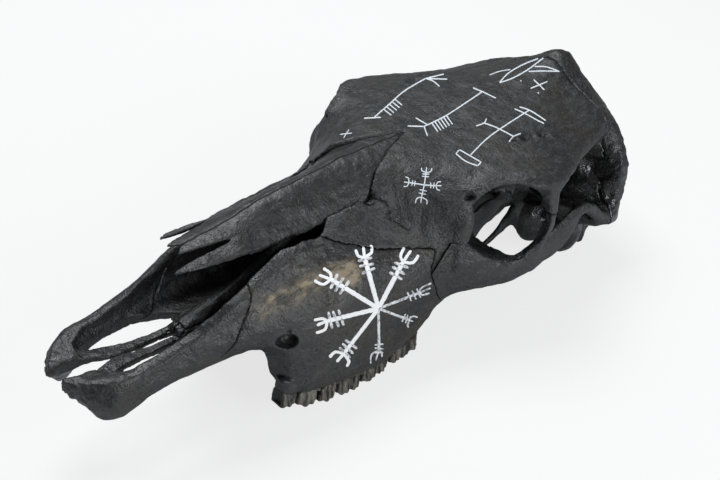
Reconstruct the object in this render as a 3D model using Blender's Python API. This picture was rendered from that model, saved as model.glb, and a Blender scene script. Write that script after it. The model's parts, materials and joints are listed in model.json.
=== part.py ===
"""Cranium of a polled cow without its lower jaw, life size, at rest on its teeth.

The bone is drawn in its own frame, in millimetres: X to the animal's left,
Y from the nose to the nape, Z up from the plane of the cheek teeth. At the
end it is turned into the pose in which it rests and set on the floor.
"""
import math

import bmesh
import bpy
from mathutils import Matrix, Vector

MM = 0.001
GAP = 0.3                # joint between two bones
VOXEL = 1.5              # grain at which the lofts grow together
FACES_WANTED = 7200      # triangles kept of the fused skull
FLOOR_TRIM = 0.5         # flat worn on each point that stands on the floor

# Face: each line runs along one edge or swell of the bone, as (y, x, z).
DORSAL = [(11, 0, 34), (36, 0, 33), (60, 0, 40), (75, 0, 48), (89, 0, 62), (111, 0, 73),
          (130, 0, 84), (156, 0, 100), (186, 0, 111), (205, 0, 124), (225, 0, 132),
          (246, 0, 140), (302, 0, 147), (330, 0, 148)]
CREST = [(11, 8, 33), (20, 19, 36), (28, 27, 38), (36, 30.5, 40), (48, 32, 42), (60, 33, 45),
         (72, 34, 49.5), (89, 35, 56), (100, 36, 62), (111, 37, 70), (122, 37.5, 78),
         (133, 36, 83), (143, 34.5, 88.5), (155, 34, 97), (167, 34.5, 100.5), (178, 35.5, 102),
         (190, 36.5, 102.5), (198, 37, 104), (206, 35, 110), (215, 32.5, 114), (226, 32, 116),
         (240, 38, 116), (255, 45, 113),
         (270, 57, 117), (283, 68, 123), (293, 78, 130), (305, 84, 138), (330, 88, 139)]
CHEEK_TOP = [(11, 10, 31), (20, 22, 33), (28, 31, 33), (36, 36, 32), (48, 37, 35), (60, 38, 38),
             (75, 39.5, 42), (89, 41, 48), (100, 42, 54), (111, 43, 60), (130, 44, 71),
             (145, 43.5, 80), (156, 43, 87), (168, 42.5, 92), (186, 43, 97), (203, 44, 100),
             (226, 46, 103), (240, 50, 104), (255, 57, 102), (270, 66, 106), (283, 74, 111),
             (293, 79, 117), (305, 82, 118), (330, 82, 116)]
CHEEK = [(11, 11, 29), (20, 26, 28), (28, 35, 24), (36, 38.5, 21), (48, 38.5, 25),
         (60, 40, 29), (75, 42.5, 34), (89, 44, 42), (111, 48, 50), (130, 53, 57),
         (150, 57, 64), (165, 60, 69), (190, 63, 75), (215, 66, 80), (240, 68, 82),
         (255, 72, 83), (270, 75, 88), (283, 78, 94), (295, 82, 92), (330, 90, 80)]
TUBER = [(11, 10, 27), (20, 24, 23), (28, 33, 17), (36, 37, 14), (43, 38, 15), (50, 38, 19),
         (60, 39, 25), (75, 42, 30), (85, 43, 33), (103, 45, 37), (118, 48, 42), (137, 55, 46),
         (150, 62, 46), (165, 66, 50), (190, 70, 55), (215, 73, 59), (240, 75, 61),
         (260, 77, 62), (280, 81, 64), (295, 86, 67), (310, 91, 69), (330, 94, 71)]
MALAR_LOW = [(11, 9, 26), (20, 20, 18), (27, 27, 11), (33, 31, 8), (40, 32, 8.5), (47, 33, 13),
             (56, 35, 20), (68, 38, 25), (80, 40, 29), (103, 42, 32), (118, 44, 36),
             (137, 50, 40), (148, 57, 39), (155, 63, 34), (165, 67, 30), (190, 70, 34),
             (240, 71, 36), (280, 70, 37), (288, 70, 40), (295, 72, 46), (303, 77, 53),
             (312, 83, 59), (330, 90, 66)]
ALVEOLUS_OUT = [(11, 7, 25), (20, 14, 20), (27, 19, 11), (33, 23, 6), (40, 26, 6.5), (47, 28, 12),
                (55, 31, 18), (66, 34, 23), (80, 37, 27.5), (103, 39, 30), (118, 41, 33),
                (137, 45, 37), (147, 50, 36), (152, 57, 27), (155, 61, 17), (158, 64, 8),
                (167, 67, 4), (190, 69, 2.5), (215, 69.5, 2.5), (240, 69, 5), (265, 66, 11),
                (284, 62, 19), (292, 60, 28), (300, 60, 42), (312, 60, 54), (330, 62, 64)]
ALVEOLUS_IN = [(11, 6, 25), (20, 8, 24), (28, 12, 21), (36, 16, 21), (48, 22, 23.5),
               (60, 27, 27), (75, 31, 29), (103, 34, 30), (118, 36, 31), (137, 39, 33),
               (147, 41, 33), (153, 44, 16), (157, 46, 7), (167, 46, 3.5), (215, 44, 2.5),
               (265, 42, 10), (284, 44, 18), (295, 44, 28), (310, 42, 42), (330, 36, 58)]
PALATE_SIDE = [(11, 5, 26), (20, 4, 26), (28, 6, 25), (36, 8, 26), (48, 10, 27.5), (60, 12, 28.5),
               (85, 16, 30), (110, 22, 32), (118, 28, 32.5), (150, 36, 30), (165, 37, 28),
               (215, 35, 27), (265, 33, 29), (284, 32, 34), (300, 30, 45), (330, 26, 62)]
PALATE = [(11, 0, 26), (36, 0, 25.5), (48, 0, 27), (60, 0, 28.5), (85, 0, 30), (110, 0, 33),
          (118, 0, 34), (150, 0, 37), (215, 0, 36), (265, 0, 37), (284, 0, 42), (300, 0, 55),
          (330, 0, 72)]
FACE_LINES = [DORSAL, CREST, CHEEK_TOP, CHEEK, TUBER, MALAR_LOW, ALVEOLUS_OUT, ALVEOLUS_IN,
              PALATE_SIDE, PALATE]
FACE_FRONT, FACE_BACK, FACE_STEP = 11, 330, 5.5

# Nasal cavity between the side walls: top, side and floor as (y, x, z).
CAVITY_TOP = [(36, 0, 150), (194, 0, 150), (202, 0, 130), (210, 0, 112), (225, 0, 108),
              (244, 0, 90)]
CAVITY_MOUTH = [(36, 20, 150), (50, 26.5, 150), (60, 28, 150), (75, 29.5, 150), (89, 30.5, 150),
                (111, 32.5, 150), (130, 32.5, 150), (145, 31.5, 150), (160, 31.5, 150),
                (178, 33, 150), (194, 33.5, 150), (202, 29, 128), (210, 20, 108),
                (225, 17, 100), (244, 10, 84)]
CAVITY_RIM = [(36, 20, 36), (50, 27, 38), (60, 28.5, 41), (75, 30, 47), (89, 31, 53), (100, 32, 58),
              (111, 33.5, 66), (122, 34, 73), (133, 32.5, 78), (143, 31, 83.5), (155, 31, 92),
              (167, 31.5, 95.5), (178, 32.5, 97.5), (194, 33, 99), (202, 29, 101),
              (210, 23, 101), (225, 18, 95), (244, 11, 81)]
CAVITY_SIDE = [(36, 19, 34), (50, 26, 35.5), (60, 28.5, 38), (75, 31.5, 43), (89, 33.5, 48), (111, 37, 56),
               (130, 41, 64), (160, 44, 74), (206, 42, 74), (225, 30, 76), (244, 14, 74)]
CAVITY_FLOOR_SIDE = [(36, 14, 31.5), (50, 20, 32.5), (60, 22, 34), (75, 24, 35), (89, 25, 36), (111, 28, 39),
                     (130, 33, 42), (160, 36, 45), (206, 32, 50), (225, 26, 60),
                     (244, 12, 68)]
CAVITY_FLOOR = [(36, 0, 31.5), (50, 0, 32.5), (75, 0, 34), (103, 0, 37), (127, 0, 42), (160, 0, 44),
                (206, 0, 50), (225, 0, 60), (244, 0, 68)]
CAVITY_LINES = [CAVITY_TOP, CAVITY_MOUTH, CAVITY_RIM, CAVITY_SIDE, CAVITY_FLOOR_SIDE,
                CAVITY_FLOOR]
CAVITY_FRONT, CAVITY_BACK, CAVITY_STEP = 36, 244, 5.5

# Forehead: the middle line, a line half way out, and the rim with its underside.
ROOF_MID = [(214, 0, 131), (246, 0, 141), (293, 0, 148.5), (323, 0, 153), (352, 0, 159),
            (390, 0, 166.5), (415, 0, 171.5), (440, 0, 178.5), (458, 0, 188.5), (468, 0, 194),
            (476, 0, 191), (484, 0, 178)]
ROOF_HALF = [(214, 18, 122), (230, 20, 128), (246, 24, 136), (270, 34, 140.5),
             (293, 42, 145.5), (323, 50, 151), (352, 56, 156), (390, 50, 162), (415, 42, 166),
             (440, 32, 169), (458, 26, 176), (468, 24, 179), (477, 22, 177), (484, 18, 170)]
ROOF_RIM = [(214, 31, 113), (230, 33, 117), (246, 42, 114), (258, 50, 114), (270, 60, 118),
            (283, 71, 126), (293, 79, 132), (305, 85, 140), (323, 95, 146), (338, 103, 147),
            (352, 104.5, 146.5), (365, 100.5, 147.5), (378, 95, 148), (390, 90, 148.5),
            (403, 84.5, 150), (415, 79.5, 152), (440, 72, 156.5), (458, 67, 159),
            (468, 63, 158), (477, 56, 156), (484, 44, 154)]
ROOF_UNDER = [(214, 28, 103), (246, 38, 104), (270, 56, 108), (293, 72, 121), (305, 78, 130),
              (323, 88, 136), (338, 96, 136), (352, 97, 135), (365, 93, 135.5),
              (378, 87.5, 136), (390, 82, 137), (415, 72, 138), (440, 65, 140), (458, 60, 141),
              (468, 56, 140), (477, 50, 140), (484, 40, 142)]
ROOF_INNER = [(214, 0, 104), (293, 0, 120), (352, 0, 128), (415, 0, 132), (468, 0, 132),
              (484, 0, 140)]
ROOF_LINES = [ROOF_MID, ROOF_HALF, ROOF_RIM, ROOF_UNDER, ROOF_INNER]
ROOF_FRONT, ROOF_BACK, ROOF_STEP = 214, 484, 9.0

# Nasal bones: middle line, outer edge, and where each strip of the plate begins and ends.
NASAL_MID = [(84, 0, 100), (122, 0, 108), (161, 0, 121.5), (206, 0, 133), (246, 0, 141.5),
             (302, 0, 149)]
NASAL_EDGE = [(84, 19, 92), (92, 21.5, 96.5), (106, 23, 99), (130, 24, 100.5),
              (150, 24.5, 101.5), (174, 25, 104), (200, 26, 109), (222, 27.5, 113),
              (236, 30, 119), (246, 31, 126), (302, 31, 141)]
NASAL_SPAN = [(0.0, 103, 300), (0.14, 97, 288), (0.28, 95, 278), (0.4, 108, 270),
              (0.5, 130, 264), (0.58, 134, 259), (0.66, 118, 254), (0.8, 84, 247),
              (0.9, 89, 242), (1.0, 99, 236)]
NASAL_THICK = 3.6
NASAL_ARCH = 1.7         # how the plate falls from the middle line to its edge
NASAL_ROWS = 15
BED_LIFT = 14            # how far up the bed of a nasal bone stays open
PRONG_FROM = 0.7         # where across the bone its outer prong starts
PRONG_LOST = 14          # broken off the right outer prong

# Orbit: the ring of its rim, which faces forward and out.
ORBIT_CENTRE = Vector((90.5, 321, 113))
ORBIT_YAW, ORBIT_RISE = math.radians(-21.5), math.radians(5)
ORBIT_LONG, ORBIT_HIGH = 38.5, 32.5
ORBIT_SIDES = 24
RIM_THICK = 7.5
RIM_TURNS, RIM_SIDES = 36, 8
LOWER_RIM_OUT = 0.05     # how much wider the ring is at its lowest point

# Points of support: the worn first molar and the tip of the jugular process.
MOLAR_LOW = Vector((66, 213, -12.5))
JUGULAR_LOW = Vector((58, 470, 45))

# Cheek teeth, front to back: length along the jaw, width, how far the crown reaches down.
TEETH = [(15, 15, -5, 1), (18, 18, -9, 1), (17, 20, -11.8, 1),
         (23, 23, -12.5, 2), (27, 24, -11, 2), (30, 23, -4, 3)]
TOOTH_START, TOOTH_GAP, TOOTH_ROOT = 150.0, 0.8, 17.0
TOOTH_OUTER = 67.5       # cheek side of the longest crown
TOOTH_LEAN, TOOTH_LOWEST = 0.1, -12


def course(line, y):
    """Read a line at the station y with a smooth curve through its points."""
    last = len(line) - 1
    k = 0
    while k < last - 1 and y > line[k + 1][0]:
        k += 1
    span = line[k + 1][0] - line[k][0]
    t = min(max((y - line[k][0]) / span, 0.0), 1.0)
    point = []
    for axis in (1, 2):
        here, there = line[k][axis], line[k + 1][axis]
        slope = (there - here) / span
        before = slope if k == 0 else (here - line[k - 1][axis]) / (line[k][0] - line[k - 1][0])
        after = slope
        if k + 1 < last:
            after = (line[k + 2][axis] - there) / (line[k + 2][0] - line[k + 1][0])
        leave = 0.5 * (before + slope) if before * slope > 0 else 0.0
        reach = 0.5 * (slope + after) if slope * after > 0 else 0.0
        h = t * t * (3 - 2 * t)
        curve = here + (there - here) * h
        curve += span * (leave * t * (1 - t) ** 2 - reach * t * t * (1 - t))
        point.append(curve)
    return point


def rounded(corners, steps):
    """Round a closed outline with a curve through its corners."""
    count = len(corners)
    ring = []
    for i in range(count):
        a, b, c, d = (Vector(corners[(i + k) % count]) for k in (-1, 0, 1, 2))
        for s in range(steps):
            t = s / steps
            ring.append(0.5 * (2 * b + (c - a) * t + (2 * a - 5 * b + 4 * c - d) * t * t
                               + (3 * b - a - 3 * c + d) * t ** 3))
    return ring


def solid(name, bm):
    """Turn a bmesh into an object with outward faces."""
    bmesh.ops.recalc_face_normals(bm, faces=bm.faces)
    mesh = bpy.data.meshes.new(name)
    bm.to_mesh(mesh)
    bm.free()
    body = bpy.data.objects.new(name, mesh)
    bpy.context.collection.objects.link(body)
    return body


def loft(name, rings):
    """Skin closed rings that have the same number of points and cap both ends."""
    bm = bmesh.new()
    loops = [[bm.verts.new(Vector(point) * MM) for point in ring] for ring in rings]
    for near, far in zip(loops, loops[1:]):
        for i in range(len(near)):
            j = (i + 1) % len(near)
            bm.faces.new((near[i], near[j], far[j], far[i]))
    bm.faces.new(loops[0])
    bm.faces.new(loops[-1])
    bmesh.ops.triangulate(bm, faces=[f for f in bm.faces if len(f.verts) > 4])
    return solid(name, bm)


def hull_lines(name, lines, start, stop, step, steps=3):
    """Loft a body that is alike on both sides from lines read along Y."""
    count = max(2, round((stop - start) / step))
    rings = []
    for i in range(count + 1):
        y = start + (stop - start) * i / count
        half = [course(line, y) for line in lines]
        corners = [(x, y, z) for x, z in half]
        corners += [(-x, y, z) for x, z in half[-2:0:-1]]
        rings.append(rounded(corners, steps))
    return loft(name, rings)


def bar(name, path, side=Vector((1, 0, 0)), points=12):
    """Loft an oval bar along a path of (centre, width, height)."""
    rings = []
    centres = [Vector(centre) for centre, _, _ in path]
    for i, (_, width, height) in enumerate(path):
        ahead = centres[min(i + 1, len(path) - 1)] - centres[max(i - 1, 0)]
        ahead.normalize()
        across = (side - side.dot(ahead) * ahead).normalized()
        up = ahead.cross(across)
        ring = []
        for k in range(points):
            turn = 2 * math.pi * k / points
            ring.append(centres[i] + across * (math.cos(turn) * width / 2)
                        + up * (math.sin(turn) * height / 2))
        rings.append(ring)
    return loft(name, rings)


def blob(name, centre, radii, turn=(0, 0, 0)):
    """Make an ellipsoid, turned by degrees about X, Y and Z."""
    bm = bmesh.new()
    bmesh.ops.create_icosphere(bm, subdivisions=3, radius=1)
    spin = Matrix.LocRotScale(None, Matrix.Rotation(math.radians(turn[2]), 3, 'Z')
                              @ Matrix.Rotation(math.radians(turn[1]), 3, 'Y')
                              @ Matrix.Rotation(math.radians(turn[0]), 3, 'X'), None)
    size = Matrix.Diagonal((*[r * MM for r in radii], 1))
    bmesh.ops.transform(bm, matrix=Matrix.Translation(Vector(centre) * MM) @ spin @ size,
                        verts=bm.verts)
    return solid(name, bm)


def prism(name, outline, low, high, axis='X'):
    """Stretch a flat outline along X from low to high, or along Z for a plan."""
    rings = []
    for level in (low, high):
        if axis == 'X':
            rings.append([(level, y, z) for y, z in outline])
        else:
            rings.append([(x, y, level) for x, y in outline])
    return loft(name, rings)


def mirrored(body):
    """Copy a body to the other side of the skull."""
    twin = body.copy()
    twin.data = body.data.copy()
    bpy.context.collection.objects.link(twin)
    bm = bmesh.new()
    bm.from_mesh(twin.data)
    bmesh.ops.scale(bm, vec=(-1, 1, 1), verts=bm.verts)
    bmesh.ops.reverse_faces(bm, faces=bm.faces)
    bm.to_mesh(twin.data)
    bm.free()
    return twin


def both(bodies):
    """Add the twin of each body."""
    return bodies + [mirrored(body) for body in bodies]


def remove(body):
    """Drop an object and its mesh."""
    mesh = body.data
    bpy.data.objects.remove(body)
    bpy.data.meshes.remove(mesh)


def settle(body):
    """Apply the modifiers of a body to its mesh."""
    evaluated = body.evaluated_get(bpy.context.evaluated_depsgraph_get())
    mesh = bpy.data.meshes.new_from_object(evaluated)
    old = body.data
    body.modifiers.clear()
    body.data = mesh
    bpy.data.meshes.remove(old)
    return body


def fuse(name, bodies, voxel):
    """Grow several closed bodies together at one grain."""
    bm = bmesh.new()
    for body in bodies:
        bm.from_mesh(body.data)
        remove(body)
    whole = solid(name, bm)
    grain = whole.modifiers.new('Grain', 'REMESH')
    grain.mode = 'VOXEL'
    grain.voxel_size = voxel * MM
    return settle(whole)


def combine(body, others, how, solver='MANIFOLD'):
    """Cut or join closed bodies with the first one, and drop them."""
    group = bpy.data.collections.new('Tools')
    for other in others:
        group.objects.link(other)
        bpy.context.collection.objects.unlink(other)
    tool = body.modifiers.new('Boolean', 'BOOLEAN')
    tool.operation = how
    tool.operand_type = 'COLLECTION'
    tool.collection = group
    tool.solver = solver
    settle(body)
    for other in others:
        remove(other)
    bpy.data.collections.remove(group)
    return body


def duplicate(name, body):
    """Copy a body under a new name."""
    twin = bpy.data.objects.new(name, body.data.copy())
    bpy.context.collection.objects.link(twin)
    return twin


def largest(body):
    """Keep only the largest closed surface of a body."""
    bm = bmesh.new()
    bm.from_mesh(body.data)
    left = set(bm.verts)
    shells = []
    while left:
        seed = left.pop()
        shell, edge = {seed}, [seed]
        while edge:
            vert = edge.pop()
            for link in vert.link_edges:
                other = link.other_vert(vert)
                if other in left:
                    left.discard(other)
                    shell.add(other)
                    edge.append(other)
        shells.append(shell)
    shells.sort(key=len)
    for shell in shells[:-1]:
        bmesh.ops.delete(bm, geom=list(shell), context='VERTS')
    bmesh.ops.triangulate(bm, faces=bm.faces)
    bm.to_mesh(body.data)
    bm.free()
    return body


def smooth(body, factor, repeat):
    """Relax a body."""
    relax = body.modifiers.new('Smooth', 'SMOOTH')
    relax.factor = factor
    relax.iterations = repeat
    return settle(body)


def thin_out(body, wanted):
    """Collapse edges until about the wanted number of triangles is left."""
    triangles = sum(len(face.vertices) - 2 for face in body.data.polygons)
    fewer = body.modifiers.new('Fewer', 'DECIMATE')
    fewer.ratio = min(1.0, wanted / triangles)
    return settle(body)


def orbit_point(angle, out, scale=1.0):
    """Give a point of the orbit's ring, moved out along the way it faces."""
    facing = Vector((math.cos(ORBIT_YAW) * math.cos(ORBIT_RISE),
                     math.sin(ORBIT_YAW) * math.cos(ORBIT_RISE), math.sin(ORBIT_RISE)))
    along = Vector((-math.sin(ORBIT_YAW), math.cos(ORBIT_YAW), 0))
    up = facing.cross(along)
    return (ORBIT_CENTRE + facing * out + along * (math.cos(angle) * ORBIT_LONG * scale)
            + up * (math.sin(angle) * ORBIT_HIGH * scale))


def orbit_rim():
    """Model the raised rim of the orbit as a closed ring."""
    bm = bmesh.new()
    turns, around = RIM_TURNS, RIM_SIDES
    loops = []
    for i in range(turns):
        angle = 2 * math.pi * i / turns
        wide = 1.0 + LOWER_RIM_OUT * max(0.0, -math.sin(angle))
        centre = orbit_point(angle, -2.0, wide)
        outward = (orbit_point(angle, -2.0, 1.1 * wide) - centre).normalized()
        facing = (orbit_point(angle, 0.0) - orbit_point(angle, -1.0)).normalized()
        loops.append([bm.verts.new((centre + outward * (math.cos(2 * math.pi * k / around)
                                                        * RIM_THICK / 2)
                                    + facing * (math.sin(2 * math.pi * k / around) * RIM_THICK
                                                / 2)) * MM) for k in range(around)])
    for i in range(turns):
        near, far = loops[i], loops[(i + 1) % turns]
        for k in range(around):
            j = (k + 1) % around
            bm.faces.new((near[k], near[j], far[j], far[k]))
    return solid('rim', bm)


def orbit_hollow():
    """Model the space of the orbit, from outside its ring to its depth."""
    rings = []
    for out, scale in ((26, 1.02), (8, 0.9), (-4, 0.88), (-20, 0.9), (-38, 0.7), (-50, 0.42)):
        rings.append([orbit_point(2 * math.pi * k / ORBIT_SIDES, out, scale)
                      for k in range(ORBIT_SIDES)])
    return loft('orbit', rings)


def skull_pieces():
    """Make the overlapping bodies that grow together into the skull."""
    middle = [
        hull_lines('face', FACE_LINES, FACE_FRONT, FACE_BACK, FACE_STEP),
        hull_lines('roof', ROOF_LINES, ROOF_FRONT, ROOF_BACK, ROOF_STEP),
        blob('braincase', (0, 404, 122), (51, 78, 46)),
        blob('orbital_wall', (0, 335, 108), (27, 60, 42)),
        bar('skull_base', [((0, 318, 84), 34, 30), ((0, 350, 80), 32, 26),
                           ((0, 385, 77), 34, 24), ((0, 425, 75), 40, 24),
                           ((0, 462, 74), 46, 26)]),
        loft('nape', [rounded([(0, y, top), (w * 0.66, y, top - 6), (w * 0.86, y, 146),
                               (w, y, 124), (w, y, 98), (w * 0.92, y, 80), (w * 0.5, y, 68),
                               (0, y, 66), (-w * 0.5, y, 68), (-w * 0.92, y, 80),
                               (-w, y, 98), (-w, y, 124), (-w * 0.86, y, 146),
                               (-w * 0.66, y, top - 6)], 3)
                      for y, w, top in ((440, 58, 150), (450, 77, 158), (459, 90, 166),
                                        (466, 91, 168), (471, 84, 166), (475, 60, 150))]),
    ]
    side = [
        bar('malar', [((79, 286, 77), 13, 38), ((86, 298, 76.5), 12, 36), ((92, 311, 75.5), 11, 29),
                      ((97, 325, 73), 10, 20), ((99.5, 338, 75), 10, 20),
                      ((100.5, 351, 81), 9, 20)]),
        bar('arch', [((101, 346, 78), 9, 22), ((99.5, 366, 84), 8, 23), ((98.5, 382, 91), 7.5, 27),
                     ((98, 391, 98), 7.5, 25), ((97.5, 399, 105), 8, 16),
                     ((96, 409, 107.5), 8, 10), ((94, 422, 101), 9, 10), ((92, 438, 91), 9, 11),
                     ((91, 452, 85), 10, 12), ((92, 463, 85), 8, 11)]),
        bar('postorbital', [((101, 350, 143), 14, 15), ((102.5, 354, 128), 10, 14),
                            ((104, 353, 114), 9, 12), ((104.5, 349, 100), 9, 12),
                            ((103, 344, 86), 9, 14), ((101, 340, 76), 9, 14)],
            side=Vector((1, 0, 0.2))),
        orbit_rim(),
        bar('socket', [((46, 414, 104), 34, 15), ((66, 412, 103), 34, 13),
                       ((84, 410, 105), 28, 10), ((94, 408, 107), 18, 8)],
            side=Vector((0, 1, 0))),
        bar('ear', [((44, 436, 92), 34, 34), ((62, 440, 88), 30, 26), ((78, 444, 86), 26, 20),
                    ((90, 447, 85), 22, 14)], side=Vector((0, 1, 0))),
        blob('bulla', (40, 426, 65), (10, 15, 19), (10, 0, -20)),
        blob('ear_base', (62, 440, 64), (12, 17, 19), (0, 0, -10)),
        blob('mastoid', (84, 459, 88), (10.5, 12, 13)),
        bar('jugular', [((50, 456, 84), 30, 22), ((54, 461, 68), 24, 16),
                        ((57, 466, 57), 19, 13), ((58.4, 470, 49), 13, 10),
                        ((58.6, 471, 43.5), 6, 6)], side=Vector((0, 1, 0))),
        blob('condyle_side', (52, 476, 66), (12, 9, 14)),
        blob('condyle', (25, 478, 82), (15, 15, 21), (25, 0, 20)),
        blob('tuberosity', (58, 303, 62), (18, 22, 20)),
        bar('palate_wing', [((28, 292, 46), 9, 24), ((26, 318, 56), 7, 36),
                            ((23, 344, 62), 6, 36), ((22, 362, 56), 5.5, 34),
                            ((22.5, 370, 46), 5, 22)]),
        bar('pterygoid', [((22.5, 366, 39), 5, 8), ((25, 389, 43), 4.6, 6.5),
                          ((27.5, 401, 55), 5.5, 8), ((29.5, 412, 69), 8, 14),
                          ((30, 421, 80), 12, 22)]),
        bar('web', [((30, 407, 69), 8, 18), ((36, 426, 70), 8, 26)]),
        bar('malar_root', [((66, 290, 66), 26, 36), ((80, 299, 72), 22, 30),
                           ((90, 311, 75), 16, 22)], side=Vector((0, 1, 0))),
    ]
    vomer = bar('vomer', [((0, 104, 37), 15, 8), ((0, 122, 43), 16.5, 11), ((0, 148, 49), 15, 20),
                          ((0, 176, 58), 12, 35), ((0, 206, 68), 10, 50), ((0, 238, 76), 9, 60)])
    plates = both([
        bar('orbit_plate', [((50, 320, 72), 9, 30), ((48, 337, 80), 7, 26),
                            ((46, 352, 91), 7, 22), ((44, 368, 94), 7, 20),
                            ((40, 388, 100), 9, 20), ((34, 402, 100), 12, 24),
                            ((30, 416, 92), 16, 28)]),
        blob('lacrimal', (76.5, 290.5, 109), (9, 8, 18), (0, 0, -15)),
    ])
    return middle + both(side), [vomer] + plates


def fissure(side, front):
    """Give the plan of one palatal fissure from its front end to its back."""
    inner = [(15.5, 46), (12.5, 56), (10.5, 68), (9.2, 82), (8.4, 98), (8.0, 110)]
    outer = [(15, 120), (22, 112), (26.5, 100), (28.5, 84), (28, 70), (25.5, 58), (22, 47)]
    return [(side * x, y) for x, y in [(19, front)] + inner + outer]


def hollows():
    """Make the spaces that are cut out of the fused skull."""
    side = [
        orbit_hollow(),
        blob('fossa', (66, 366, 92), (24, 30, 36), (0, 0, 25)),
        blob('below_orbit', (56, 352, 72), (26, 30, 26), (0, 0, 35)),
        blob('temporal_hollow', (82, 428, 122), (27, 28, 18), (0, 0, 18)),
        blob('infraorbital', (60.5, 150, 47.5), (7, 11, 5.5), (0, 0, 24)),
        bar('choana', [((12, 284, 50), 12, 8), ((12, 296, 54), 18, 26), ((12, 312, 60), 19, 34),
                       ((12, 336, 64), 18, 34), ((12, 372, 62), 18, 32)]),
    ]
    middle = [
        prism('fissure_left', fissure(1, 33), -10, 60, 'Z'),
        prism('fissure_right', fissure(-1, 41), -10, 60, 'Z'),
        hull_lines('cavity', CAVITY_LINES, CAVITY_FRONT, CAVITY_BACK, CAVITY_STEP),
        prism('front_gap', [(-7, 0), (7, 0), (7.5, 14), (8, 28), (6.5, 40), (3, 49), (0.8, 56),
                            (1.4, 68), (1.9, 86), (1.4, 104), (0, 110), (-1.4, 104),
                            (-1.9, 86), (-1.4, 68), (-0.8, 56), (-3, 49), (-6.5, 40),
                            (-8, 28), (-7.5, 14)], 0, 60, 'Z'),
        bar('foramen', [((0, 500, 88), 40, 44), ((0, 480, 90), 36, 38), ((0, 462, 94), 30, 32),
                        ((0, 446, 98), 24, 24)]),
    ]
    return middle + both(side)


def tooth(name, start, length, width, low, lobes, side):
    """Model one cheek tooth with its outer ribs, worn cusps and sunk root."""
    outer, middle = TOOTH_OUTER - TOOTH_LEAN * abs(low - TOOTH_LOWEST), start + length / 2
    inner = outer - width
    around = 4 * lobes + 3
    rings = []
    for level, swell in ((TOOTH_ROOT, 0.86), (4.0, 0.94), (low + 3.0, 1.0), (low, 0.9)):
        ring = []
        for k in range(2 * around):
            outside = k < around
            t = (k if outside else 2 * around - 1 - k) / (around - 1)
            y = middle + (t - 0.5) * length * (0.97 if level < TOOTH_ROOT else 0.9)
            rib = abs(math.sin(math.pi * lobes * t)) * (2.2 if outside else 3.0)
            round_off = 2.0 * (2 * t - 1) ** 4
            x = outer - 1.8 + rib - round_off if outside else inner + 2.5 - rib + round_off
            x = (outer + inner) / 2 + (x - (outer + inner) / 2) * swell
            cusp = abs(math.sin(math.pi * lobes * t)) * (1.6 if outside else 0.9)
            z = level if level > low else low + 1.6 - cusp
            ring.append((side * x, y, z))
        rings.append(ring)
    return loft(name, rings)


def teeth(side):
    """Set the six cheek teeth of one side along the jaw."""
    row = []
    start = TOOTH_START
    for number, (length, width, low, lobes) in enumerate(TEETH):
        row.append(tooth(f'tooth_{number}', start, length, width, low, lobes, side))
        start += length + TOOTH_GAP
    return row


def nasal(name, side, grow=0.0, lift=0.0):
    """Make one nasal bone as a bent plate, or its bed when it is grown."""
    bm = bmesh.new()
    upper, lower = [], []
    for share, front, back in NASAL_SPAN:
        if side < 0 and share > PRONG_FROM:
            front += PRONG_LOST * (1 if share < 1 else 0.5)
        front -= grow
        back += 3 * grow
        column_up, column_low = [], []
        for i in range(NASAL_ROWS + 1):
            y = front + (back - front) * i / NASAL_ROWS
            middle = course(NASAL_MID, y)[1]
            edge_x, edge_z = course(NASAL_EDGE, y)
            reach = edge_x - GAP / 2
            out = share + 3 * grow / reach if share == 1.0 else share
            x = GAP / 2 + reach * out - (grow if share == 0.0 else 0.0)
            z = middle + (edge_z - middle) * out ** NASAL_ARCH
            thin = 0.45 if i == 0 and grow == 0 else 1.0
            column_up.append(bm.verts.new(Vector((side * x, y, z + lift)) * MM))
            column_low.append(bm.verts.new(
                Vector((side * x, y, z - NASAL_THICK * thin - grow)) * MM))
        upper.append(column_up)
        lower.append(column_low)
    columns, rows = len(NASAL_SPAN), NASAL_ROWS + 1
    for a in range(columns - 1):
        for b in range(rows - 1):
            for sheet in (upper, lower):
                p, q = sheet[a][b], sheet[a + 1][b]
                r, s = sheet[a + 1][b + 1], sheet[a][b + 1]
                bm.faces.new((p, q, r))
                bm.faces.new((p, r, s))
    border = [(a, 0) for a in range(columns)]
    border += [(columns - 1, b) for b in range(1, rows)]
    border += [(a, rows - 1) for a in range(columns - 2, -1, -1)]
    border += [(0, b) for b in range(rows - 2, 0, -1)]
    for here, there in zip(border, border[1:] + border[:1]):
        p, q = upper[here[0]][here[1]], upper[there[0]][there[1]]
        r, s = lower[there[0]][there[1]], lower[here[0]][here[1]]
        bm.faces.new((p, q, r))
        bm.faces.new((p, r, s))
    return solid(name, bm)


def grown(outline, distance):
    """Move each side of a closed outline out by a distance."""
    area = sum(a[0] * b[1] - b[0] * a[1] for a, b in zip(outline, outline[1:] + outline[:1]))
    turn = 1 if area > 0 else -1
    result = []
    for i, here in enumerate(outline):
        before = Vector(outline[i - 1])
        point, after = Vector(here), Vector(outline[(i + 1) % len(outline)])
        first, second = (point - before).normalized(), (after - point).normalized()
        out_1 = Vector((first.y, -first.x)) * turn
        out_2 = Vector((second.y, -second.x)) * turn
        bisector = (out_1 + out_2).normalized()
        result.append(tuple(point + bisector * (distance / max(bisector.dot(out_1), 0.3))))
    return result


def part_off(whole, name, outline, low, high, axis='X'):
    """Take the bone inside a prism off the whole and leave the joint open."""
    piece = duplicate(name, whole)
    combine(piece, [prism('inside', outline, low, high, axis)], 'INTERSECT')
    combine(whole, [prism('outside', grown(outline, GAP), low - GAP, high + GAP, axis)],
            'DIFFERENCE')
    return piece


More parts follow.
